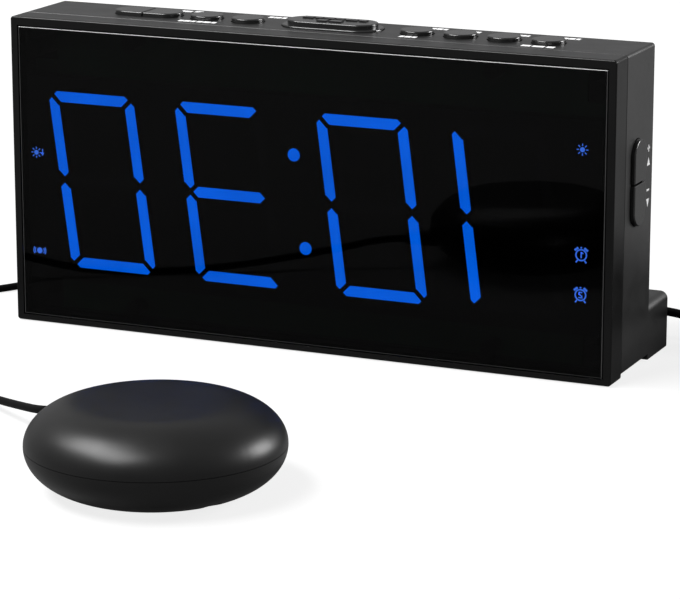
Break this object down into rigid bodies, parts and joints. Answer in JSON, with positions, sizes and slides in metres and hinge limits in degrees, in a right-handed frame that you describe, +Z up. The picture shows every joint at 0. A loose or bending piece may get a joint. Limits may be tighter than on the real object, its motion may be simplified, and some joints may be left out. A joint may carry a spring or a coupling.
{
  "type": "bed shaker alarm clock",
  "caption": "Digital alarm clock with a wide smoked display, top and side keys, a long rear foot, a round wired bed shaker and a power adapter.",
  "frame": {"origin": "centre of the floor box of the clock and its shaker, on the floor", "axes": "+X to the right seen from the front, +Y towards the clock's back, +Z up"},
  "size_m": [0.3357, 0.2765, 0.1004],
  "materials": {
    "case_black": "satin",
    "bezel_black": "satin",
    "smoked_lens": "gloss",
    "window_blue": "satin",
    "window_dark": "satin",
    "white_plastic": "satin",
    "key_black": "satin",
    "board_green": "satin",
    "chip_black": "satin",
    "steel": "satin",
    "chrome": "gloss",
    "brass": "satin",
    "iron": "matte",
    "paper_cone": "matte",
    "rubber_black": "matte",
    "puck_black": "satin",
    "cord_black": "satin"
  },
  "bodies": {
    "clock": {"front_bezel": "bezel_black", "display_lens": "smoked_lens", "light_reflector": "white_plastic", "lit_segments": "window_blue", "unlit_segments": "window_dark", "indicator_windows": "window_blue", "display_board": "board_green", "segment_leds": "white_plastic", "main_board": "board_green", "board_chips": "chip_black", "board_links": "white_plastic", "internal_wires": "cord_black", "speaker_frame": "steel", "speaker_cone": "paper_cone", "speaker_magnet": "iron", "key_board": "board_green", "volume_board": "board_green", "key_switches": "chip_black", "mid_case": "case_black", "rear_cover": "case_black", "battery_door": "case_black", "coin_cell": "chrome", "cell_clip": "steel", "case_screws": "steel", "board_screws": "steel", "rubber_feet": "rubber_black", "dc_jack": "chip_black", "shaker_jack": "chip_black", "usb_port": "chrome", "puck_top_shell": "puck_black", "puck_bottom_shell": "puck_black", "motor_can": "steel", "motor_clamp": "steel", "puck_screws": "steel", "puck_grommet": "rubber_black", "shaker_lead": "cord_black", "shaker_coil": "cord_black", "puck_lead": "cord_black", "shaker_plug": "rubber_black", "power_lead": "cord_black", "power_coil": "cord_black", "power_tail": "cord_black", "power_plug": "rubber_black", "cord_ties": "cord_black", "adapter_case": "case_black", "adapter_prongs": "brass", "adapter_board": "board_green"},
    "rotor": {"motor_shaft": "steel", "eccentric_weight": "brass"},
    "pill_key_left_body": {"pill_key_left": "key_black"},
    "pill_key_right_body": {"pill_key_right": "key_black"},
    "snooze_bar_body": {"snooze_bar": "key_black"},
    "volume_down_key_body": {"volume_down_key": "key_black"},
    "volume_up_key_body": {"volume_up_key": "key_black"},
    "round_key_1_body": {"round_key_1": "key_black"},
    "round_key_2_body": {"round_key_2": "key_black"},
    "round_key_3_body": {"round_key_3": "key_black"},
    "round_key_4_body": {"round_key_4": "key_black"},
    "round_key_5_body": {"round_key_5": "key_black"},
    "round_key_6_body": {"round_key_6": "key_black"}
  },
  "joints": [
    {"name": "pill_key_left_press", "type": "slide", "parent": "clock", "child": "pill_key_left_body", "axis": [0, 0, -1], "range_m": [0, 0.0005], "stiffness_N_per_m": 3000},
    {"name": "pill_key_right_press", "type": "slide", "parent": "clock", "child": "pill_key_right_body", "axis": [0, 0, -1], "range_m": [0, 0.0005], "stiffness_N_per_m": 3000},
    {"name": "snooze_bar_press", "type": "slide", "parent": "clock", "child": "snooze_bar_body", "axis": [0, 0, -1], "range_m": [0, 0.0006], "stiffness_N_per_m": 3000},
    {"name": "volume_down_key_press", "type": "slide", "parent": "clock", "child": "volume_down_key_body", "axis": [-1, 0, 0], "range_m": [0, 0.0005], "stiffness_N_per_m": 3000},
    {"name": "volume_up_key_press", "type": "slide", "parent": "clock", "child": "volume_up_key_body", "axis": [-1, 0, 0], "range_m": [0, 0.0005], "stiffness_N_per_m": 3000},
    {"name": "round_key_1_press", "type": "slide", "parent": "clock", "child": "round_key_1_body", "axis": [0, 0, -1], "range_m": [0, 0.0005], "stiffness_N_per_m": 3000},
    {"name": "round_key_2_press", "type": "slide", "parent": "clock", "child": "round_key_2_body", "axis": [0, 0, -1], "range_m": [0, 0.0005], "stiffness_N_per_m": 3000},
    {"name": "round_key_3_press", "type": "slide", "parent": "clock", "child": "round_key_3_body", "axis": [0, 0, -1], "range_m": [0, 0.0005], "stiffness_N_per_m": 3000},
    {"name": "round_key_4_press", "type": "slide", "parent": "clock", "child": "round_key_4_body", "axis": [0, 0, -1], "range_m": [0, 0.0005], "stiffness_N_per_m": 3000},
    {"name": "round_key_5_press", "type": "slide", "parent": "clock", "child": "round_key_5_body", "axis": [0, 0, -1], "range_m": [0, 0.0005], "stiffness_N_per_m": 3000},
    {"name": "round_key_6_press", "type": "slide", "parent": "clock", "child": "round_key_6_body", "axis": [0, 0, -1], "range_m": [0, 0.0005], "stiffness_N_per_m": 3000},
    {"name": "motor_spin", "type": "hinge", "parent": "clock", "child": "rotor", "pos_m": [0.0222, -0.08035, 0.012], "axis": [1, 0, 0], "continuous": true}
  ]
}
